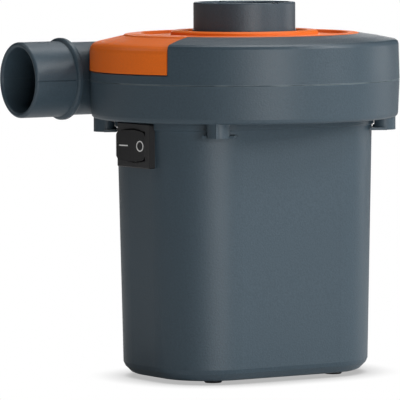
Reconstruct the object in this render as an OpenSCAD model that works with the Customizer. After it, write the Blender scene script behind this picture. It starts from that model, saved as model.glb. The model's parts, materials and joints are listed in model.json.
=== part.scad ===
// Electric air mattress pump, millimetres.
// Origin on the floor plane under the fan axis. +Z up, the nozzle points along -X.

/* [Motor body] */
// Distance from the fan axis to a corner centre, along the nozzle direction
corner_x = 19.8; // [12:0.1:26]
// Distance from the fan axis to a corner centre, across the nozzle direction
corner_y = 7.4; // [4:0.1:16]
// Corner radius at the floor, before the foot chamfer
corner_r_low = 21.1; // [14:0.1:26]
// Corner radius at the top of the body
corner_r_high = 22.9; // [14:0.1:28]
// Height of the body's top face
body_top = 88.9; // [70:0.1:110]
// Wall thickness of the body
body_wall = 2.2; // [1.5:0.1:3]
// Height of the foot pads
foot_h = 1.1; // [0.5:0.1:4]
// Size of the chamfer round the foot of the body
foot_chamfer = 3.1; // [1:0.1:6]

/* [Fan housing] */
// Outer radius at the joint between the two housings
head_r = 52.9; // [45:0.1:60]
// Outer radius at the bottom edge of the lower housing
head_low_r = 52.4; // [44:0.1:60]
// Height of the bottom edge of the lower housing
head_low = 88.2; // [70:0.1:110]
// Height of the joint between the two housings
joint_z = 101.2; // [80:0.1:120]
// Thickness of the housing walls
head_wall = 2.2; // [1.5:0.1:3]

/* [Ports] */
// Outer radius of the nozzle in front of its collar
nozzle_r = 12.95; // [8:0.05:20]
// Bore radius of the nozzle
nozzle_bore_r = 11.15; // [6:0.05:18]
// Distance of the nozzle axis from the fan axis
nozzle_y = 37.5; // [25:0.5:40]
// Distance of the nozzle mouth from the fan axis
nozzle_reach = 67.7; // [58:0.1:90]
// Outer radius of the inlet port
inlet_r = 17.4; // [12:0.1:24]
// Bore radius of the inlet port
inlet_bore_r = 15.6; // [10:0.1:22]
// Height of the inlet port's rim
inlet_top = 127.4; // [118:0.1:150]

/* [Switch] */
// Height of the switch centre
switch_z = 79.9; // [40:0.1:80]
// Bezel width
bezel_w = 21.0; // [18:0.5:30]
// Bezel height
bezel_h = 15.0; // [10:0.5:20]
// Rocker tilt each side of its middle position, degrees
rocker_tilt = 11.5; // [5:0.5:12]

/* [Impeller] */
// Tip radius of the impeller
impeller_r = 41.5; // [30:0.5:44]
// Number of blades
blade_count = 9; // [5:1:12]

/* [Hidden] */
$fn = 96;
gap = 0.01;
seam = 0.3;
collar_at = 15.7;
port_stop = 118.05;
port_stop_r = inlet_r + 0.35;
grey = [0.36, 0.41, 0.45];
orange = [0.84, 0.40, 0.12];
black = [0.06, 0.06, 0.065];
steel = [0.66, 0.67, 0.69];
copper = [0.72, 0.42, 0.22];
rubber = [0.09, 0.09, 0.095];
bezel_x = -44.75;
panel_x = -42.6;
pivot_x = -43.4;
see_x = -33.9;
see_tilt = rocker_tilt * 0.6;
boss_r = 3.85;
boss_at = 47.6;
boss_low = 83.5;
boss_angles = [46.7, 150.5, 226.7, 330.5];
pan_low = 89.0;
pan_top = 91.0;
post_x = 31.3;
post_y = 18.9;
motor_top = 87.5;
motor_r = 21.1;
tab_from = 92;
tab_to = 208;

// ---- shared shapes ----

function body_r(z) = corner_r_low + (corner_r_high - corner_r_low) * z / body_top;

// Tapered rounded rectangle with corner radius ra at height za and rb at height zb.
module taper(za, zb, ra, rb) {
  for (sx = [-1, 1], sy = [-1, 1])
    translate([sx * corner_x, sy * corner_y, za]) cylinder(h = zb - za, r1 = ra, r2 = rb);
  rotate([90, 0, 0]) translate([0, 0, -corner_y]) linear_extrude(2 * corner_y)
    polygon([[-corner_x - ra, za], [corner_x + ra, za], [corner_x + rb, zb], [-corner_x - rb, zb]]);
  rotate([90, 0, 90]) translate([0, 0, -corner_x]) linear_extrude(2 * corner_x)
    polygon([[-corner_y - ra, za], [corner_y + ra, za], [corner_y + rb, zb], [-corner_y - rb, zb]]);
}

// A wedge of space between two angles, out to radius r.
module wedge(a, b, r, z0, z1) {
  step = (b - a) / 4;
  translate([0, 0, z0]) linear_extrude(z1 - z0)
    polygon(concat([[0, 0]], [for (i = [0:4]) [r * cos(a + i * step), r * sin(a + i * step)]]));
}

// A straight wire between two points, with a small ball where it meets the next.
module wire(a, b, r) {
  d = b - a;
  len = norm(d);
  translate(a) rotate([0, acos(d[2] / len), atan2(d[1], d[0])]) cylinder(h = len, r = r, $fn = 48);
  translate(b) sphere(r = r + 0.12, $fn = 48);
}

module along_x(x, y, z) {
  translate([x, y, z]) rotate([0, 90, 0]) children();
}

// Places children round the fan axis at the screw bosses.
module at_bosses() {
  for (a = boss_angles) rotate([0, 0, a]) translate([boss_at, 0, 0]) children();
}

module at_posts() {
  for (sx = [-1, 1], sy = [-1, 1]) translate([sx * post_x, sy * post_y, 0]) children();
}

// ---- motor body ----

module body_housing() {
  low = foot_h;
  cham_top = foot_h + foot_chamfer;
  floor_top = foot_h + body_wall;
  // inset and height of each corner of the chamfer's outline
  base_edge = [[foot_chamfer + 0.9, 0], [foot_chamfer - 0.5, 0.55], [0.55, foot_chamfer - 0.5],
    [body_r(low) - body_r(cham_top + 0.9), foot_chamfer + 0.9]];
  color(grey) difference() {
    union() {
      taper(cham_top + 0.9, body_top, body_r(cham_top + 0.9), body_r(body_top));
      // chamfer round the base, with its edges rounded
      for (i = [0:2]) taper(low + base_edge[i][1], low + base_edge[i + 1][1],
        body_r(low) - base_edge[i][0], body_r(low) - base_edge[i + 1][0]);
      // lip under the fan housing, eased below
      taper(85.3, 85.7, body_r(85.3) + 0.2, body_r(85.7) + 0.7);
      taper(85.7, body_top, body_r(85.7) + 0.7, body_r(body_top) + 0.7);
      // flat pad behind the switch bezel
      translate([panel_x, -10.2, switch_z - 7.2]) cube([3, 20.4, 14.2]);
      // boss round the cord hole
      translate([0, 26.4, 20]) rotate([-90, 0, 0]) cylinder(h = 2.9, r = 8);
    }
    difference() {
      union() {
        taper(cham_top + 0.9, body_top + 1, body_r(cham_top) - body_wall, body_r(body_top) - body_wall);
        taper(floor_top, cham_top + 0.9, body_r(low) - foot_chamfer - 1.2,
          body_r(cham_top) - body_wall);
      }
      // posts for the body screws
      at_posts() translate([0, 0, 58]) cylinder(h = 40, r = 3.4);
      for (sx = [-1, 1], sy = [-1, 1])
        translate([sx * (post_x + 3.2) - 0.7, sy * (post_y + 2) - 3, 58]) cube([1.4, 6, 40]);
      // posts under the rectifier board
      for (sx = [-1, 1], sy = [-1, 1])
        translate([sx * 17, sy * 11, 3]) cylinder(h = 5, r = 2.4);
      for (sx = [-1, 1], sy = [-1, 1])
        translate([sx * 17, sy * 11, 3]) cylinder(h = 7.4, r = 1.1);
      // thicker wall behind the switch and the cord
      translate([0, 26.4, 20]) rotate([-90, 0, 0]) cylinder(h = 10, r = 8);
    }
    // flush face for the switch
    translate([panel_x - 5, -bezel_w / 2 - 0.15, switch_z - bezel_h / 2 - 0.15])
      cube([5, bezel_w + 0.3, bezel_h + 0.3]);
    // switch cut-out
    translate([panel_x - 5, -9.5, switch_z - 6.4]) cube([12, 19, 12.8]);
    // cord hole
    translate([0, 20, 20]) rotate([-90, 0, 0]) cylinder(h = 20, r = 4.5);
    translate([0, 29.3, 20]) rotate([-90, 0, 0]) cylinder(h = 6, r = 8.5);
    // pilot holes in the posts
    at_posts() translate([0, 0, 74]) cylinder(h = 20, r = 1.2);
    // air slots in the floor
    for (i = [-3:3]) translate([i * 5 - 1, -7, 0]) cube([2, 14, 4]);
    // seats for the feet
    for (sx = [-1, 1], sy = [-1, 1])
      translate([sx * 24.3, sy * 17.4, 0]) cylinder(h = 2.0, r = 2.6);
  }
}

module feet() {
  color(rubber) for (sx = [-1, 1], sy = [-1, 1]) translate([sx * 24.3, sy * 17.4, 0]) {
    cylinder(h = 0.4, r1 = 2.75, r2 = 3.05);
    translate([0, 0, 0.4]) cylinder(h = foot_h - 0.4, r = 3.05);
    cylinder(h = 1.95, r = 2.55);
  }
}

// ---- fan housings ----

// Outside of the nozzle, laid along its own +Z with the mouth at zero.
module nozzle_outside() {
  lip = (nozzle_r - nozzle_bore_r) / 2;
  rotate_extrude() union() {
    translate([nozzle_bore_r + lip, lip]) circle(r = lip, $fn = 32);
    translate([0, lip]) square([nozzle_bore_r + lip, 2]);
    translate([0, lip]) square([nozzle_r, collar_at + 0.1]);
    translate([0, collar_at]) square([nozzle_r - 0.45, 42]);
    // raised bead
    translate([0, collar_at]) polygon([[0, 0], [nozzle_r, 0], [nozzle_r + 0.7, 0.3],
      [nozzle_r + 1.1, 0.8], [nozzle_r + 1.1, 1.9], [nozzle_r + 0.75, 2.55],
      [nozzle_r - 0.2, 3.05], [0, 3.05]]);
  }
}

module nozzle_bore() {
  along_x(-nozzle_reach - 1, nozzle_y, joint_z) cylinder(h = nozzle_reach - 25, r = nozzle_bore_r);
}

module nozzle_tube() {
  difference() {
    along_x(-nozzle_reach, nozzle_y, joint_z) nozzle_outside();
    cylinder(h = 200, r = head_r - 1.2);
  }
}

// V along the nozzle's seam from x0 to x1, where its outer radius is r.
module seam_groove(x0, x1, r) {
  for (s = [-1, 1]) translate([x0, nozzle_y + s * r, joint_z]) rotate([45, 0, 0])
    translate([0, -0.16, -0.16]) cube([x1 - x0, 0.32, 0.32]);
}

module nozzle_seam() {
  seam_groove(-nozzle_reach - 1, -nozzle_reach + collar_at - 0.2, nozzle_r);
  seam_groove(-nozzle_reach + collar_at + 1.0, -nozzle_reach + collar_at + 1.3, nozzle_r + 1.1);
}

// Thin curved wall round the impeller, close to it by the nozzle and further off along the turn.
module guide_wall(z0, z1) {
  intersection() {
    translate([1.5, -0.7, z0]) difference() {
      cylinder(h = z1 - z0, r = 47.6);
      translate([0, 0, -1]) cylinder(h = z1 - z0 + 2, r = 46.0);
    }
    wedge(153, 302, 80, z0 - 1, z1 + 1);
  }
}

module lower_fan_housing() {
  color(grey) difference() {
    union() {
      rotate_extrude() polygon([[head_low_r - 3.0, head_low], [head_low_r - 1.4, head_low],
        [head_low_r - 0.7, head_low + 0.2], [head_low_r - 0.2, head_low + 0.75],
        [head_low_r, head_low + 1.6], [head_r - 0.02, joint_z - gap - seam],
        [head_r - seam, joint_z - gap], [head_r - head_wall, joint_z - gap],
        [head_r - head_wall, joint_z + 1.6], [head_r - head_wall - 1.1, joint_z + 1.6],
        [head_r - head_wall - 1.1, joint_z - 1.5], [head_low_r - head_wall, pan_top],
        [0, pan_top], [0, pan_low], [head_low_r - 3.0, pan_low]]);
      intersection() {
        nozzle_tube();
        translate([-100, 0, 60]) cube([100, 80, joint_z - gap - 60]);
      }
      guide_wall(pan_low + 0.5, joint_z - 0.4);
      // screw bosses, inside and below
      difference() {
        at_bosses() {
          translate([0, 0, boss_low]) cylinder(h = joint_z - gap - boss_low, r = boss_r);
          translate([boss_r - 0.3, 0, boss_low]) cylinder(h = 6.5, r = 0.5, $fn = 32);
          translate([-6.5, -boss_r - 1.5, boss_low]) cube([7.2, 2 * boss_r + 3.0, 0.9]);
        }
        taper(60, pan_low, body_r(60) + 0.3, body_r(pan_low) + 0.3);
        taper(85.2, pan_low, body_r(85.2) + 1.0, body_r(pan_low) + 1.0);
      }
    }
    nozzle_bore();
    nozzle_seam();
    // hole for the motor's nose
    translate([0, 0, 80]) cylinder(h = 20, r = 9.0);
    // motor screw holes
    for (s = [-1, 1]) translate([0, s * 14.5, 80]) cylinder(h = 20, r = 2.1);
    // body screw holes
    at_posts() translate([0, 0, 80]) cylinder(h = 20, r = 1.7);
    // cooling holes, air is drawn up past the motor
    for (a = [45, 135, 225, 315]) rotate([0, 0, a]) translate([25, 0, 80]) cylinder(h = 20, r = 2.5);
    // screw holes up through the bosses, with head recesses
    at_bosses() {
      translate([0, 0, 80]) cylinder(h = 30, r = 1.6);
      translate([0, 0, 80]) cylinder(h = 6.0, r = 2.9);
    }
  }
}

module upper_fan_housing() {
  color(grey) difference() {
    union() {
      difference() {
        rotate_extrude() union() {
          polygon([[head_r, joint_z + gap], [52.6, 113.1], [52.3, 114.0], [51.4, 114.6],
            [45.6, 115.8], [39.2, 116.75], [39.2, 115.4], [inlet_bore_r, 115.4], [inlet_bore_r, 112.6],
            [38.5, 112.6], [49.4, 111.6], [50.2, 110.8], [head_r - head_wall + 0.1, joint_z + gap]]);
          translate([inlet_bore_r, 111.6]) square([inlet_r - inlet_bore_r, inlet_top - 0.5 - 111.6]);
          translate([inlet_bore_r, 111.6]) square([port_stop_r - inlet_bore_r, port_stop - 111.6]);
          translate([inlet_bore_r + 0.5, inlet_top - 1]) square([inlet_r - inlet_bore_r - 1, 1]);
          translate([inlet_bore_r + 0.5, inlet_top - 0.5]) circle(r = 0.5, $fn = 24);
          translate([inlet_r - 0.5, inlet_top - 0.5]) circle(r = 0.5, $fn = 24);
        }
        // seat for the trim's tab, wall and shoulder
        intersection() {
          tab_skin(0.16);
          union() {
            wedge(150, tab_to + 0.3, 80, 103.6, 130);
            wedge(tab_from - 0.3, 152, 80, 112.8, 130);
          }
        }
      }
      intersection() {
        nozzle_tube();
        translate([-100, 0, joint_z + gap]) cube([100, 80, 40]);
      }
      guide_wall(joint_z + gap, 112.7);
      intersection() {
        at_bosses() translate([0, 0, joint_z + gap]) cylinder(h = 112.5 - joint_z, r = boss_r);
        cylinder(h = 200, r = head_r - head_wall + 0.3);
      }
      // finger guard across the inlet
      for (a = [0, 60, 120]) rotate([0, 0, a])
        translate([-inlet_bore_r - 0.5, -0.7, 113.0]) cube([2 * inlet_bore_r + 1, 1.4, 2.6]);
      translate([0, 0, 113.0]) cylinder(h = 2.6, r = 4);
    }
    nozzle_bore();
    nozzle_seam();
    // pilot holes for the housing screws
    at_bosses() translate([0, 0, 100]) cylinder(h = 10.5, r = 1.2);
    // clearance for the lower housing's locating lip
    difference() {
      translate([0, 0, joint_z - 1]) cylinder(h = 2.9, r = head_r - head_wall + 0.1);
      translate([0, 0, joint_z - 2]) cylinder(h = 5, r = head_r - head_wall - 1.3);
    }
  }
}

// ---- orange trim ----

// Skin over the shoulder and wall; extra thickens it inward for the seat, which has an eased
// lower edge.
module tab_skin(extra) {
  e = extra;
  rotate_extrude() polygon([[52.45, 104.5 - e], [53.2, 103.72], [53.2, 113.0], [52.75, 114.1],
    [51.5, 114.9], [45.6, 116.2], [41.3, 116.9], [41.0, 117.4], [39.0, 117.4], [39.0, 115.1 - e],
    [41.0, 115.1 - e], [50.2 - e, 113.2 - e], [51.3 - e, 112.2 - e], [51.75 - e, 104.5 - e]]);
}

module trim_cover() {
  color(orange) difference() {
    union() {
      // disc round the port
      rotate_extrude() polygon([[port_stop_r + 0.45, 115.45], [port_stop_r + 0.45, 116.5],
        [20.6, 116.5], [21.1, 117.6], [21.6, 117.9], [24.2, 117.9], [25.1, 117.4], [25.3, 116.2],
        [35.0, 116.0], [35.3, 116.8], [35.8, 117.05], [38.6, 116.95], [39.0, 116.7],
        [39.0, 115.45]]);
      // tab over the shoulder and down the wall
      intersection() {
        difference() {
          rotate_extrude() polygon([[53.0, 104.5], [52.85, 111.4], [52.6, 112.4], [52.0, 113.25],
            [51.0, 113.9], [49.6, 114.35], [41.3, 116.25], [40.9, 116.7], [38.6, 116.95],
            [38.6, 115.45], [39.2, 115.45], [41.0, 115.15], [50.2, 113.25], [51.3, 112.25],
            [51.75, 104.5]]);
          along_x(-90, nozzle_y, joint_z) cylinder(h = 90, r = nozzle_r - 0.45 + 0.2);
        }
        union() {
          wedge(150.2, tab_to, 80, 104, 130);
          wedge(tab_from, 151, 80, 113.0, 130);
        }
      }
    }
    cylinder(h = 200, r = port_stop_r + 0.35);
  }
}

// ---- screws ----

module pan_screw(shank_r, head_r2, head_h, len) {
  difference() {
    union() {
      cylinder(h = len, r = shank_r, $fn = 32);
      translate([0, 0, -head_h]) cylinder(h = head_h, r = head_r2, $fn = 48);
    }
    for (a = [0, 90]) rotate([0, 0, a])
      translate([-head_r2 * 0.6, -0.35, -head_h - 0.1]) cube([head_r2 * 1.2, 0.7, head_h * 0.6]);
  }
}

module housing_screws() {
  color(steel) at_bosses() translate([0, 0, 86.0]) pan_screw(1.2, 2.7, 1.8, 22);
}

module body_screws() {
  color(steel) at_posts() translate([0, 0, pan_top]) mirror([0, 0, 1]) pan_screw(1.2, 2.9, 1.9, 14);
}

module motor_screws() {
  color(steel) for (s = [-1, 1]) translate([0, s * 14.5, pan_top]) mirror([0, 0, 1])
    pan_screw(1.95, 3.6, 2.3, 5.0);
}

// ---- impeller ----

module impeller() {
  color(black) difference() {
    union() {
      translate([0, 0, 94.6]) cylinder(h = 1.5, r = impeller_r);
      translate([0, 0, 94.0]) cylinder(h = 10.5, r = 6.5);
      for (i = [0:blade_count - 1]) rotate([0, 0, i * 360 / blade_count])
        translate([0, 0, 95.5]) intersection() {
          translate([-13.5, -13, 0]) difference() {
            translate([20, 0, 0]) cylinder(h = 15, r = 25.7);
            translate([20, 0, -1]) cylinder(h = 20, r = 24.3);
          }
          difference() {
            cylinder(h = 30, r = impeller_r);
            translate([0, 0, -1]) cylinder(h = 40, r = 15);
          }
          translate([0, 4, -1]) cube([60, 60, 30]);
        }
    }
    translate([0, 0, 90]) cylinder(h = 30, r = 2.5);
  }
}

module impeller_nut() {
  color(steel) translate([0, 0, 104.55]) difference() {
    linear_extrude(2.7) circle(r = 4.6, $fn = 6);
    translate([0, 0, -1]) cylinder(h = 6, r = 2.5);
  }
}

// ---- motor ----

module motor_can() {
  color(steel) difference() {
    union() {
      translate([0, 0, 29]) cylinder(h = motor_top - 29, r = motor_r);
      translate([0, 0, motor_top - 0.5]) cylinder(h = 5, r = 8.7);
    }
    translate([0, 0, 28]) cylinder(h = motor_top - 28 - 1.5, r = motor_r - 1.2);
    translate([0, 0, 80]) cylinder(h = 20, r = 5.0);
    for (s = [-1, 1]) translate([0, s * 14.5, 80]) cylinder(h = 20, r = 2.0);
    // side windows for cooling air
    for (a = [0, 180]) rotate([0, 0, a]) translate([0, -4, 79]) cube([30, 8, 4]);
  }
}

module motor_magnets() {
  color([0.2, 0.2, 0.21]) for (a = [0, 180]) rotate([0, 0, a]) intersection() {
    difference() {
      translate([0, 0, 42]) cylinder(h = 34, r = motor_r - 1.25);
      translate([0, 0, 41]) cylinder(h = 40, r = 18.0);
    }
    wedge(-65, 65, 40, 40, 80);
  }
}

module motor_pad() {
  color(rubber) translate([0, 0, motor_top]) difference() {
    cylinder(h = pan_low - motor_top, r = 19.5);
    translate([0, 0, -1]) cylinder(h = 5, r = 9.0);
    for (s = [-1, 1]) translate([0, s * 14.5, -1]) cylinder(h = 5, r = 2.1);
  }
}

module motor_end_cap() {
  color(black) difference() {
    union() {
      translate([0, 0, 25.5]) cylinder(h = 3.5, r = motor_r);
      translate([0, 0, 28]) cylinder(h = 5, r = motor_r - 1.3);
      translate([0, 0, 22]) cylinder(h = 4, r = 7);
      // brush guides
      for (s = [-1, 1]) translate([s * 11.5 - 4.2, -3.6, 30]) cube([8.4, 7.2, 8.2]);
    }
    translate([0, 0, 28.5]) difference() {
      cylinder(h = 10, r = motor_r - 3.2);
      for (s = [-1, 1]) translate([s * 11.5 - 4.2, -3.6, -1]) cube([8.4, 7.2, 14]);
    }
    for (s = [-1, 1]) translate([s * 11.5 - 6, -2.3, 31.5]) cube([12, 4.6, 5.1]);
    translate([0, 0, 22.6]) cylinder(h = 20, r = 5.0);
    for (s = [-1, 1]) translate([s * 13.5 - 0.45, -2.45, 20]) cube([0.9, 4.9, 10]);
  }
}

module motor_terminals() {
  color(copper) for (s = [-1, 1]) translate([s * 13.5 - 0.4, -2.4, 18]) cube([0.8, 4.8, 11]);
}

module shaft() {
  color(steel) translate([0, 0, 23.2]) cylinder(h = 84.8, r = 2.5, $fn = 64);
}

module thrust_washers() {
  color([0.85, 0.8, 0.62]) for (z = [30.0, 84.9]) translate([0, 0, z]) difference() {
    cylinder(h = 0.5, r = 4.5);
    translate([0, 0, -1]) cylinder(h = 3, r = 2.5);
  }
}

module front_bush() {
  color(copper) translate([0, 0, 85.7]) difference() {
    cylinder(h = 5.6, r = 5.0);
    translate([0, 0, -1]) cylinder(h = 9, r = 2.54);
  }
}

module rear_bush() {
  color(copper) translate([0, 0, 22.7]) difference() {
    cylinder(h = 6.6, r = 4.98);
    translate([0, 0, 0.4]) cylinder(h = 9, r = 2.54);
  }
}

module armature_core() {
  color([0.5, 0.5, 0.52]) difference() {
    translate([0, 0, 44]) cylinder(h = 30, r = 17.0);
    translate([0, 0, 40]) cylinder(h = 40, r = 2.5);
    for (i = [0:7]) rotate([0, 0, i * 45 + 22.5]) {
      translate([15, -0.9, 40]) cube([5, 1.8, 40]);
      translate([12.2, 0, 40]) cylinder(h = 40, r = 3.2);
    }
  }
}

module windings() {
  color(copper) {
    for (i = [0:7]) rotate([0, 0, i * 45 + 22.5]) translate([12.2, 0, 40.5]) cylinder(h = 37, r = 2.9);
    for (z = [38.6, 74.1]) translate([0, 0, z]) difference() {
      cylinder(h = 5.3, r = 15.6);
      translate([0, 0, -1]) cylinder(h = 8, r = 6.2);
    }
  }
}

module commutator() {
  color(copper) difference() {
    translate([0, 0, 30.8]) cylinder(h = 7.0, r = 6.6);
    translate([0, 0, 28]) cylinder(h = 12, r = 2.5);
    for (i = [0:7]) rotate([0, 0, i * 45]) translate([5.4, -0.2, 30]) cube([2, 0.4, 6.8]);
  }
}

module brushes() {
  color([0.13, 0.13, 0.14]) for (a = [0, 180]) rotate([0, 0, a]) difference() {
    translate([6.0, -2.25, 31.6]) cube([6.4, 4.5, 4.9]);
    translate([0, 0, 30]) cylinder(h = 10, r = 6.66);
  }
}

module brush_arms() {
  color(copper) for (a = [0, 180]) rotate([0, 0, a]) {
    translate([12.5, -1.8, 31.8]) cube([0.4, 3.6, 4.4]);
    translate([12.5, -1.8, 31.8]) cube([4.8, 3.6, 0.4]);
  }
}

// ---- switch ----

// Rectangle with bowed long sides: half length a along y, half height b in the middle,
// corner radius r. The long sides have a radius of 30.
module barrel(a, b, r) {
  k = 30 - b;
  corner = sqrt(pow(30 - r, 2) - pow(a - r, 2)) - k;
  touch = (a - r) * 30 / (30 - r);
  union() {
    intersection() {
      translate([-k, 0]) circle(r = 30, $fn = 360);
      translate([k, 0]) circle(r = 30, $fn = 360);
      square([2 * b + 1, 2 * touch], center = true);
    }
    square([2 * corner, 2 * a], center = true);
    for (sx = [-1, 1], sy = [-1, 1])
      translate([sx * corner, sy * (a - r)]) circle(r = r, $fn = 48);
  }
}

module switch_housing() {
  color(black) difference() {
    union() {
      // bezel with eased front edges and corners
      intersection() {
        translate([bezel_x, -bezel_w / 2, switch_z - bezel_h / 2])
          cube([panel_x - bezel_x, bezel_w, bezel_h]);
        translate([0, 0, switch_z - 20]) linear_extrude(40) polygon([[bezel_x, bezel_w / 2 - 0.3],
          [bezel_x + 0.3, bezel_w / 2], [panel_x, bezel_w / 2], [panel_x, -bezel_w / 2],
          [bezel_x + 0.3, -bezel_w / 2], [bezel_x, -bezel_w / 2 + 0.3]]);
        translate([0, 20, switch_z]) rotate([90, 0, 0]) linear_extrude(40)
          polygon([[bezel_x, bezel_h / 2 - 0.3], [bezel_x + 0.3, bezel_h / 2],
          [panel_x, bezel_h / 2], [panel_x, -bezel_h / 2], [bezel_x + 0.3, -bezel_h / 2],
          [bezel_x, -bezel_h / 2 + 0.3]]);
        along_x(bezel_x - 1, 0, switch_z) linear_extrude(5) union() {
          square([bezel_h, bezel_w - 1.6], center = true);
          square([bezel_h - 1.6, bezel_w], center = true);
          for (sx = [-1, 1], sy = [-1, 1])
            translate([sx * (bezel_h / 2 - 0.8), sy * (bezel_w / 2 - 0.8)]) circle(r = 0.8, $fn = 32);
        }
      }
      translate([panel_x - 0.5, -9.4, switch_z - 6.3]) cube([12, 18.8, 12.6]);
    }
    // opening, bowed where the rocker shows
    along_x(bezel_x - 1, 0, switch_z) linear_extrude(-41.7 - bezel_x + 1) barrel(7.7, 5.75, 0.8);
    translate([bezel_x - 1, -7.7, switch_z - 5.05]) cube([-32.3 - bezel_x + 1, 15.4, 10.1]);
    // pivot holes
    translate([pivot_x, 0, switch_z - 6.7]) cylinder(h = 13.4, r = 0.8, $fn = 32);
    // terminal slots
    translate([-34, -0.45, switch_z - 2.45]) cube([4, 0.9, 4.9]);
    translate([-34, -5.45, switch_z - 2.45]) cube([4, 0.9, 4.9]);
  }
}

module switch_terminals() {
  color(copper) {
    // common blade, the contact arm rocks on its end
    translate([-33.3, -0.4, switch_z - 2.4]) cube([8.5, 0.8, 4.8]);
    // second blade with the fixed contact
    translate([-32.4, -5.4, switch_z - 2.4]) cube([7.6, 0.8, 4.8]);
    along_x(-32.6, -5.0, switch_z) cylinder(h = 0.3, r = 1.4, $fn = 32);
  }
}

module contact_arm() {
  color(copper) translate([see_x, 0, switch_z]) rotate([0, 0, -see_tilt]) {
    translate([-0.25, -6.0, -2.2]) cube([0.5, 12.0, 4.4]);
    // roll it rocks on
    intersection() {
      translate([0, 0, -2.2]) cylinder(h = 4.4, r = 0.45, $fn = 32);
      translate([0, -2, -3]) cube([4, 4, 6]);
    }
    along_x(0.2, -5.0, 0) cylinder(h = 0.3, r = 1.2, $fn = 32);
  }
}

module rocker() {
  color(black) translate([pivot_x, 0, switch_z]) rotate([0, 0, rocker_tilt]) difference() {
    union() {
      // cap with a slightly dished face
      intersection() {
        translate([0, 0, -6]) linear_extrude(12)
          polygon([[-2.86, 7.03], [-2.7, 4.0], [-2.6, 1.6], [-2.58, 0], [-2.6, -1.6], [-2.7, -4.0],
            [-2.86, -7.03], [-2.6, -7.15], [-0.3, -7.15], [-0.3, 7.15], [-2.6, 7.15]]);
        along_x(-10, 0, 0) linear_extrude(20) barrel(7.15, 5.35, 2.0);
      }
      translate([0, 0, -4.75]) linear_extrude(9.5)
        polygon([[-0.6, 6.6], [0.7, 6.6], [2.2, 5.2], [2.2, -5.2], [0.7, -6.6], [-0.6, -6.6]]);
      translate([0, 0, -6.6]) cylinder(h = 13.2, r = 0.75, $fn = 32);
      along_x(1, 0, 0) cylinder(h = 4.2, r = 2.3, $fn = 48);
    }
    along_x(0.5, 0, 0) cylinder(h = 10, r = 1.35, $fn = 32);
  }
}

module rocker_plunger() {
  color(steel) translate([pivot_x, 0, switch_z]) rotate([0, 0, rocker_tilt]) {
    along_x(4.4, 0, 0) cylinder(h = 3.65, r = 1.1, $fn = 32);
    translate([8.05, 0, 0]) sphere(r = 1.1, $fn = 32);
  }
}

module rocker_spring() {
  color(steel) translate([pivot_x, 0, switch_z]) rotate([0, 0, rocker_tilt])
    for (i = [0:4]) along_x(0.75 + i * 0.72, 0, 0)
      rotate_extrude($fn = 32) translate([0.95, 0]) circle(r = 0.2, $fn = 16);
}

// ---- electrics in the foot of the body ----

module rectifier_board() {
  color([0.1, 0.32, 0.16]) difference() {
    translate([-21, -15, 8.05]) cube([42, 30, 1.6]);
    for (sx = [-1, 1], sy = [-1, 1]) translate([sx * 17, sy * 11, 7]) cylinder(h = 4, r = 1.2);
  }
}

module board_parts() {
  color(black) {
    translate([-12, -8, 9.7]) cube([10, 10, 5]);
    translate([8, -3, 9.7]) cylinder(h = 9, r = 4.5);
    translate([-4, 6, 9.7]) cube([13, 5, 6]);
  }
}

module inner_wires() {
  color([0.1, 0.2, 0.5]) {
    // supply in, down to the board
    wire([-1.4, 23.0, 20], [-1.4, 18.5, 18.5], 0.9);
    wire([-1.4, 18.5, 18.5], [-1.4, 13.4, 10.7], 0.9);
    wire([1.4, 23.0, 20], [1.4, 18.5, 18.5], 0.9);
    wire([1.4, 18.5, 18.5], [1.4, 13.4, 10.7], 0.9);
    // board to switch
    wire([-15, 2, 10.7], [-27.5, 1, 20], 0.9);
    wire([-27.5, 1, 20], [-27.8, 0, 76.2], 0.9);
    wire([-15, -3, 10.7], [-27.5, -5, 20], 0.9);
    wire([-27.5, -5, 20], [-27.8, -5, 76.2], 0.9);
    // board to motor
    wire([-13.5, -11, 10.7], [-13.5, -3.4, 16.8], 0.9);
    wire([15.5, -5, 10.7], [13.5, -3.4, 16.8], 0.9);
  }
}

module cord_grommet() {
  color(rubber) translate([0, 0, 20]) rotate([-90, 0, 0]) difference() {
    union() {
      translate([0, 0, 26.1]) cylinder(h = 4.2, r = 4.45);
      translate([0, 0, 24.4]) cylinder(h = 1.95, r = 6.2);
      translate([0, 0, 29.35]) cylinder(h = 1.2, r = 6.6);
      translate([0, 0, 30.5]) cylinder(h = 0.8, r1 = 6.6, r2 = 5.4);
    }
    translate([0, 0, 20]) cylinder(h = 20, r = 3.1);
  }
}

body_housing();
feet();
lower_fan_housing();
upper_fan_housing();
trim_cover();
housing_screws();
body_screws();
impeller();
impeller_nut();
motor_can();
motor_magnets();
motor_end_cap();
motor_terminals();
motor_screws();
motor_pad();
shaft();
armature_core();
windings();
commutator();
thrust_washers();
front_bush();
rear_bush();
brushes();
brush_arms();
switch_housing();
switch_terminals();
contact_arm();
rocker();
rocker_plunger();
rocker_spring();
rectifier_board();
board_parts();
inner_wires();
cord_grommet();
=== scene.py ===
"""Electric air mattress pump: finishes, print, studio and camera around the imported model."""

import json
import math

import bmesh
import bpy
from mathutils import Matrix, Vector


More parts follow.
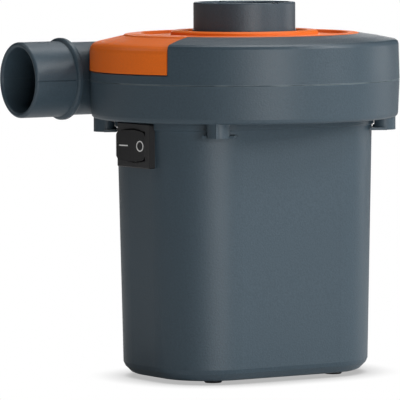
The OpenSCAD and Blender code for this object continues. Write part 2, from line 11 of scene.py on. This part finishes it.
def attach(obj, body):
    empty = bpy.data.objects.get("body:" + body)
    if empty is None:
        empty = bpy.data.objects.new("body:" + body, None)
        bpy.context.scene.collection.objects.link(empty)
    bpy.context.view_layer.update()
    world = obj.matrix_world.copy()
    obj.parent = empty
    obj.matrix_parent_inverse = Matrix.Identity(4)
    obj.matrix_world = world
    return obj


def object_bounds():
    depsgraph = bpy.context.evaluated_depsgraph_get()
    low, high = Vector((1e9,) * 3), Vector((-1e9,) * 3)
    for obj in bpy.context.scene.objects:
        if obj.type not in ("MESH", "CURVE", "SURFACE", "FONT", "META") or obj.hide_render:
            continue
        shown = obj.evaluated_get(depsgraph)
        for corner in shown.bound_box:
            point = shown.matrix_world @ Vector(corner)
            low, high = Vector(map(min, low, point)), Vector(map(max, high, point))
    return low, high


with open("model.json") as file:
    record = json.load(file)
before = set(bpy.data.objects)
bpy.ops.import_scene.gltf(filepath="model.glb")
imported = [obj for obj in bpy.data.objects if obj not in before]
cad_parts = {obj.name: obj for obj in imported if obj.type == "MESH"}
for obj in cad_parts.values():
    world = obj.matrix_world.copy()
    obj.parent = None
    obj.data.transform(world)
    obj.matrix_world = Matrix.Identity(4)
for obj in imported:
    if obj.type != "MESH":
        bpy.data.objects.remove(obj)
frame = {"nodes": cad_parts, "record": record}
cad_low, cad_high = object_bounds()
nodes = frame["nodes"]
MM = 0.001


# ---- materials ----


class Finish:
    """A procedural material: short calls that add nodes and join them up."""

    def __init__(self, name):
        self.mat = bpy.data.materials.new(name)
        self.mat.use_nodes = True
        self.tree = self.mat.node_tree
        self.shader = self.tree.nodes["Principled BSDF"]
        self.place = self.add("ShaderNodeTexCoord").outputs["Object"]

    def add(self, kind, **values):
        """A node of this kind, with properties or input values set by name."""
        node = self.tree.nodes.new(kind)
        for key, value in values.items():
            if hasattr(node, key):
                setattr(node, key, value)
            else:
                node.inputs[key.replace("_", " ")].default_value = value
        return node

    def join(self, output, target):
        self.tree.links.new(output, target)

    def noise(self, size, detail=3.0, rough=0.5, stretch=(1, 1, 1)):
        """Noise whose features are about this many metres across."""
        mapping = self.add("ShaderNodeMapping", Scale=stretch)
        self.join(self.place, mapping.inputs["Vector"])
        node = self.add("ShaderNodeTexNoise", Scale=1 / size, Detail=detail, Roughness=rough)
        self.join(mapping.outputs["Vector"], node.inputs["Vector"])
        return node.outputs["Fac"]

    def ramp(self, value, low, high, start=0.3, end=0.7):
        """Maps a value between start and end to the range low..high."""
        node = self.add(
            "ShaderNodeMapRange", From_Min=start, From_Max=end, To_Min=low, To_Max=high
        )
        self.join(value, node.inputs["Value"])
        return node.outputs["Result"]

    def tint(self, value, dark, light, start=0.3, end=0.7):
        """Mixes two colours by a value, and joins the result to the base colour."""
        mix = self.add("ShaderNodeMix", data_type="RGBA")
        self.join(self.ramp(value, 0.0, 1.0, start, end), mix.inputs["Factor"])
        for socket, color in ((6, dark), (7, light)):
            mix.inputs[socket].default_value = (*color, 1)
        self.join(mix.outputs[2], self.shader.inputs["Base Color"])

    def rough(self, value, low, high):
        """Varies the roughness between low and high by a value."""
        self.join(self.ramp(value, low, high), self.shader.inputs["Roughness"])

    def bump(self, value, height):
        """Bump of this height in metres."""
        node = self.add("ShaderNodeBump", Distance=height, Strength=1.0)
        self.join(value, node.inputs["Height"])
        self.join(node.outputs["Normal"], self.shader.inputs["Normal"])

    def calculate(self, operation, first, second, kind="ShaderNodeMath"):
        """A maths node: each operand is an output socket or a constant."""
        node = self.add(kind, operation=operation)
        for socket, operand in zip(node.inputs, (first, second)):
            if isinstance(operand, bpy.types.NodeSocket):
                self.join(operand, socket)
            elif operand is not None:
                socket.default_value = operand
        return node


def shade(color, factor):
    return tuple(c * factor for c in color)


def moulded(name, color, roughness, grain=0.6, depth=0.04, spread=0.1, gloss=0.5):
    """Moulded plastic: spark-eroded grain that shows in colour, gloss and relief."""
    f = Finish(name)
    f.shader.inputs["Specular IOR Level"].default_value = gloss
    grain_noise = f.noise(grain * MM, detail=2.0, rough=0.6)
    f.tint(grain_noise, shade(color, 1 - spread), shade(color, 1 + spread))
    f.rough(grain_noise, roughness - 0.06, roughness + 0.06)
    f.bump(grain_noise, depth * MM)
    return f


def metal(name, color, roughness, brushed=(1, 1, 1), size=0.25):
    f = Finish(name)
    f.shader.inputs["Metallic"].default_value = 1.0
    lines = f.noise(size * MM, detail=4.0, stretch=brushed)
    f.tint(lines, shade(color, 0.86), color)
    f.rough(lines, roughness - 0.07, roughness + 0.07)
    f.bump(lines, 0.01 * MM)
    return f


record = frame["record"]

grey = moulded("grey_plastic", (0.048, 0.0745, 0.096), 0.42, depth=0.06, gloss=0.38)
finishes = {
    "grey_plastic": grey,
    "orange_plastic": moulded("orange_plastic", (0.88, 0.17, 0.012), 0.5, spread=0.04, gloss=0.25),
    "black_plastic": moulded("black_plastic", (0.015, 0.015, 0.016), 0.42, depth=0.01, gloss=0.4),
    "rubber": moulded("rubber", (0.018, 0.018, 0.019), 0.75, grain=0.6),
    "steel": metal("steel", (0.56, 0.57, 0.58), 0.3, brushed=(1, 1, 8)),
    "laminate": metal("laminate", (0.3, 0.3, 0.31), 0.45, brushed=(1, 1, 6)),
    "copper": metal("copper", (0.72, 0.36, 0.18), 0.3, brushed=(1, 1, 4)),
    "brass": metal("brass", (0.72, 0.55, 0.25), 0.3),
    "bronze": metal("bronze", (0.55, 0.36, 0.2), 0.45),
    "ferrite": moulded("ferrite", (0.04, 0.04, 0.042), 0.6, grain=0.2),
    "carbon": moulded("carbon", (0.03, 0.03, 0.03), 0.5, grain=0.2),
    "fibre": moulded("fibre", (0.6, 0.5, 0.32), 0.7, grain=0.4),
    "board": moulded("board", (0.02, 0.12, 0.05), 0.35, grain=0.5),
    "wire_cover": moulded("wire_cover", (0.02, 0.06, 0.3), 0.4, grain=0.4),
    "white_print": moulded("white_print", (0.72, 0.72, 0.71), 0.5, grain=0.15, depth=0.004),
}


def painted_seam_highlight(f, height, width, reach, color):
    """Paints a highlight: lightens a plastic in patches along a level line round the housing, in
    place of the light that the seam's edges catch.
    """
    base = f.shader.inputs["Base Color"]
    axes = f.add("ShaderNodeSeparateXYZ")
    f.join(f.place, axes.inputs[0])
    band = f.calculate("COMPARE", axes.outputs["Z"], height)
    band.inputs[2].default_value = width / 2
    flat = f.calculate("MULTIPLY", f.place, (1, 1, 0), "ShaderNodeVectorMath")
    radius = f.calculate("LENGTH", flat.outputs["Vector"], None, "ShaderNodeVectorMath")
    near = f.calculate("LESS_THAN", radius.outputs["Value"], reach)
    ring = f.calculate("MULTIPLY", band.outputs[0], near.outputs[0])
    patches = f.ramp(f.noise(8 * MM), 0.35, 1.0, 0.4, 0.6)
    amount = f.calculate("MULTIPLY", ring.outputs[0], patches)
    # the painted highlight: a lighter colour mixed into the base colour along the seam
    mix = f.add("ShaderNodeMix", data_type="RGBA")
    f.join(amount.outputs[0], mix.inputs[0])
    f.join(base.links[0].from_socket, mix.inputs[6])
    mix.inputs[7].default_value = (*color, 1)
    f.join(mix.outputs[2], base)


# painted highlight along the fan housing's parting line, kept off the nozzle
LINE_HEIGHT = 101.1 * MM
LINE_WIDTH = 0.5 * MM
LINE_REACH = 53.5 * MM
painted_seam_highlight(grey, LINE_HEIGHT, LINE_WIDTH, LINE_REACH, (0.15, 0.19, 0.21))

slot_of = {part["node"]: part["material_slot"] for part in record["subparts"]}
for name, obj in nodes.items():
    obj.data.materials.clear()
    obj.data.materials.append(finishes[slot_of[name]].mat)


# ---- softened edges ----


def soften(name, width):
    """Rounds a node's sharp edges a little, so that they catch the light."""
    bevel = nodes[name].modifiers.new("soft_edges", "BEVEL")
    bevel.width = width * MM
    bevel.segments = 2
    bevel.limit_method = "ANGLE"
    bevel.angle_limit = math.radians(35)
    bevel.use_clamp_overlap = True
    bevel.harden_normals = True


for name in ("lower_fan_housing", "upper_fan_housing", "trim_cover", "switch_housing", "rocker"):
    soften(name, 0.15)
soften("body_housing", 0.2)


# ---- marks on the rocker ----

# the rocker rests at one end of its travel, turned half the range from its middle position
rocker_joint = next(j for j in record["behaviour"]["joints"] if j["name"] == "rocker_tilt")
PIVOT = Vector(rocker_joint["pos_m"])
TILT = math.radians(sum(rocker_joint["range_deg"]) / 2)
ROCKER_TURN = Matrix.Rotation(TILT, 3, "Z")
PRINT_HEIGHT = 0.03 * MM
OUTSIDE = -10 * MM  # a start for the rays, well in front of the rocker
WELD = 1e-7


def on_rocker(along, height, lift):
    """The point this far above the rocker's face, at a place in the rocker's own Y and Z."""
    start = PIVOT + ROCKER_TURN @ Vector((OUTSIDE, along * MM, height * MM))
    inward = ROCKER_TURN @ Vector((1, 0, 0))
    found, place, normal, _ = nodes["rocker"].ray_cast(start, inward)
    if not found:
        raise RuntimeError("the mark misses the rocker")
    return place + normal * lift


def printed_mark(name, rows):
    """A thin printed shape laid on the rocker: rows of (inner, outer) points in its own Y and Z."""
    mesh = bmesh.new()
    top = [[mesh.verts.new(on_rocker(*point, PRINT_HEIGHT)) for point in row] for row in rows]
    foot = [[mesh.verts.new(on_rocker(*point, -PRINT_HEIGHT)) for point in row] for row in rows]
    closed = rows[0] == rows[-1]
    for i in range(len(rows) - 1):
        mesh.faces.new((top[i][0], top[i][1], top[i + 1][1], top[i + 1][0]))
        for side in (0, 1):
            mesh.faces.new((top[i][side], top[i + 1][side], foot[i + 1][side], foot[i][side]))
    if not closed:
        for i in (0, -1):
            mesh.faces.new((top[i][0], top[i][1], foot[i][1], foot[i][0]))
    bmesh.ops.remove_doubles(mesh, verts=mesh.verts, dist=WELD)
    bmesh.ops.recalc_face_normals(mesh, faces=mesh.faces)
    data = bpy.data.meshes.new(name)
    mesh.to_mesh(data)
    mesh.free()
    obj = bpy.data.objects.new(name, data)
    bpy.context.scene.collection.objects.link(obj)
    data.materials.append(finishes["white_print"].mat)
    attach(obj, "rocker")
    return obj


def bar_rows(centre, length, width, steps=10):
    """A bar along the rocker, as rows of edge points."""
    rows = []
    for i in range(steps + 1):
        along = centre + length * (i / steps - 0.5)
        rows.append(((along, -width / 2), (along, width / 2)))
    return rows


def ring_rows(centre, radius, stroke, steps=48):
    """A ring, as rows of points on its inner and outer edges."""
    rows = []
    for i in range(steps + 1):
        a = math.tau * (i % steps) / steps
        inner = (centre + (radius - stroke) * math.cos(a), (radius - stroke) * math.sin(a))
        outer = (centre + radius * math.cos(a), radius * math.sin(a))
        rows.append((inner, outer))
    return rows


printed_mark("mark_on", bar_rows(3.55, 4.0, 0.42))
printed_mark("mark_off", ring_rows(-4.6, 1.85, 0.42))


# ---- studio ----


def plane(name, size):
    """A level square at height 0, centred below the object."""
    half = size / 2
    mesh = bpy.data.meshes.new(name)
    corners = [(-half, -half, 0), (half, -half, 0), (half, half, 0), (-half, half, 0)]
    mesh.from_pydata(corners, [], [(0, 1, 2, 3)])
    obj = bpy.data.objects.new(name, mesh)
    bpy.context.scene.collection.objects.link(obj)
    return obj


def floor_material():
    """White paper: lamps light it close by, and it glows faintly further off; to the camera it glows
    white with a painted contact shadow.
    """
    f = Finish("floor")
    f.tint(f.noise(0.3), (0.86, 0.86, 0.86), (0.88, 0.88, 0.88))
    f.shader.inputs["Roughness"].default_value = 0.9
    far = f.calculate("LENGTH", f.place, None, "ShaderNodeVectorMath")
    bounce = f.add("ShaderNodeEmission", Strength=0.40)
    lit = f.add("ShaderNodeMixShader")
    f.join(f.ramp(far.outputs["Value"], 0.0, 1.0, 0.3, 0.6), lit.inputs[0])
    f.join(f.shader.outputs[0], lit.inputs[1])
    f.join(bounce.outputs[0], lit.inputs[2])
    # what the camera sees: self-lit white with a painted contact shadow, darker where the object
    # stands close over the floor
    painted_contact_shadow = f.add("ShaderNodeAmbientOcclusion", Distance=0.02)
    painted_contact_shadow.samples = 16
    paper = f.add("ShaderNodeEmission")
    f.join(f.ramp(painted_contact_shadow.outputs["AO"], 0.45, 1.0, 0.3, 0.85), paper.inputs["Strength"])
    seen = f.add("ShaderNodeMixShader")
    f.join(f.add("ShaderNodeLightPath").outputs["Is Camera Ray"], seen.inputs[0])
    f.join(lit.outputs[0], seen.inputs[1])
    f.join(paper.outputs[0], seen.inputs[2])
    f.join(seen.outputs[0], f.tree.nodes["Material Output"].inputs["Surface"])
    return f.mat


FLOOR_SIZE = 30.0
floor = plane("floor", FLOOR_SIZE)
floor.data.materials.append(floor_material())

centre = (cad_low + cad_high) / 2


def soft_light(name, azimuth, elevation, power):
    """An area light at a compass angle round the object: 0 is at -Y, 90 is at +X."""
    a, e = math.radians(azimuth), math.radians(elevation)
    away = Vector((math.sin(a) * math.cos(e), -math.cos(a) * math.cos(e), math.sin(e)))
    data = bpy.data.lights.new(name, "AREA")
    data.shape = "RECTANGLE"
    data.size, data.size_y = LIGHT_SIZE
    data.energy = power
    obj = bpy.data.objects.new(name, data)
    obj.location = centre + away * LIGHT_DISTANCE
    obj.rotation_mode = "QUATERNION"
    obj.rotation_quaternion = (-away).to_track_quat("-Z", "Y")
    bpy.context.scene.collection.objects.link(obj)


LIGHT_SIZE = (0.4, 0.4)
LIGHT_DISTANCE = 1.6
LIGHT_TURN = -32.7  # degrees: the lights are set round from the camera, not from -Y
# name, angle round from the camera towards the right, height above the horizon, power
LIGHTS = [
    ("right_low", 70, 20, 11.5),
    ("right_high", 70, 40, 6.5),
    ("front", 10, 5, 3.7),
    ("front_right", 25, 5, 6.0),
    ("left", -100, 40, 3.5),
    ("top_back", 180, 78, 6.0),
    ("right_back", 150, 62, 4.0),
    ("back_high", 180, 40, 1.0),
    ("back_low", 180, 5, 2.4),
    ("edge_right", 120, 5, 2.2),
]
for name, azimuth, elevation, power in LIGHTS:
    soft_light(name, azimuth + LIGHT_TURN, elevation, power)

# the camera sees a white backdrop, which lights nothing
world = bpy.data.worlds.new("studio")
world.use_nodes = True
bpy.context.scene.world = world
sky = world.node_tree
dim = sky.nodes["Background"]
dim.inputs["Strength"].default_value = 0.0
white = sky.nodes.new("ShaderNodeBackground")
white.inputs["Color"].default_value = (1, 1, 1, 1)
backdrop = sky.nodes.new("ShaderNodeMixShader")
rays = sky.nodes.new("ShaderNodeLightPath")
sky.links.new(rays.outputs["Is Camera Ray"], backdrop.inputs[0])
sky.links.new(dim.outputs[0], backdrop.inputs[1])
sky.links.new(white.outputs[0], backdrop.inputs[2])
sky.links.new(backdrop.outputs[0], sky.nodes["World Output"].inputs["Surface"])

bpy.context.scene.view_settings.view_transform = "Standard"


# ---- camera ----

view_azimuth = math.radians(32.685)  # how far the camera stands round from -Y towards -X
camera_distance = 1.6
camera_height = 0.17465
# degrees turned left, tilted down and leaned over
turn, tilt, lean = (math.radians(d) for d in (0.553, 4.110, -0.290))

forward = Vector((math.sin(view_azimuth), math.cos(view_azimuth), 0))
right = Vector((math.cos(view_azimuth), -math.sin(view_azimuth), 0))
up = Vector((0, 0, 1))
place = -forward * camera_distance + up * camera_height

forward, right = (
    forward * math.cos(turn) - right * math.sin(turn),
    right * math.cos(turn) + forward * math.sin(turn),
)
forward, up = (
    forward * math.cos(tilt) - up * math.sin(tilt),
    up * math.cos(tilt) + forward * math.sin(tilt),
)
right, up = (
    right * math.cos(lean) + up * math.sin(lean),
    up * math.cos(lean) - right * math.sin(lean),
)
camera_data = bpy.data.cameras.new("camera")
camera_data.sensor_width = 36.0
camera_data.lens = 421.9
camera_data.clip_end = 100.0
camera = bpy.data.objects.new("camera", camera_data)
camera.matrix_world = Matrix.Translation(place) @ Matrix((right, up, -forward)).transposed().to_4x4()
bpy.context.scene.collection.objects.link(camera)
bpy.context.scene.camera = camera
